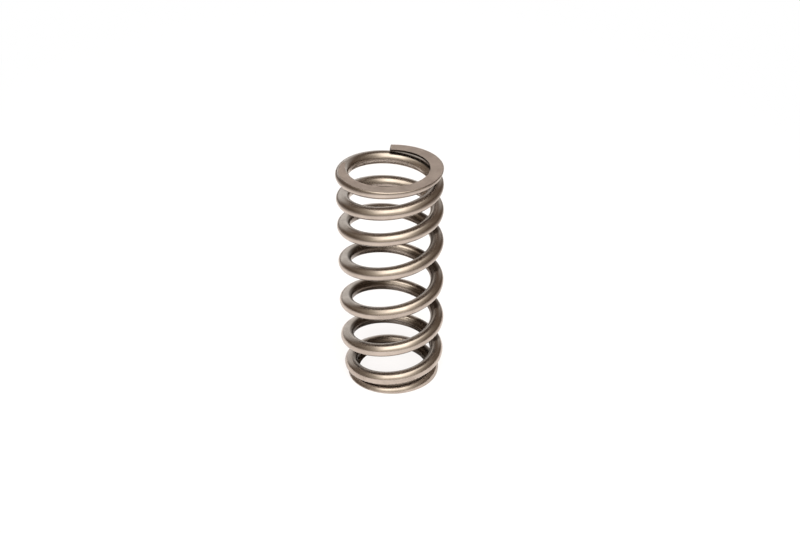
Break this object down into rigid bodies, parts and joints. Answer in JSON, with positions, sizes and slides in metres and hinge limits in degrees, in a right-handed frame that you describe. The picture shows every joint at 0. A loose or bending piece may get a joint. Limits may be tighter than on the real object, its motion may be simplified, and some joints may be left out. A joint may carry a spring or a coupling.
{
  "type": "engine valve spring",
  "caption": "Coiled steel compression spring with closed, ground ends, a pitch that varies along its length and a slightly narrower foot. It closes an engine's valve.",
  "frame": {"origin": "centre of the bottom ground face, on the coil's axis", "axes": "+Z along the coil's axis, from the narrower foot to the top ground face; -Y is the side towards the viewer of the picture, and the top end of the wire lies at the back, on the +Y side"},
  "size_m": [0.0276, 0.0276, 0.0614],
  "materials": {
    "spring_steel": "satin warm grey steel, with matte ground end faces"
  },
  "bodies": {
    "root": {"valve_spring": "spring_steel"}
  },
  "joints": []
}
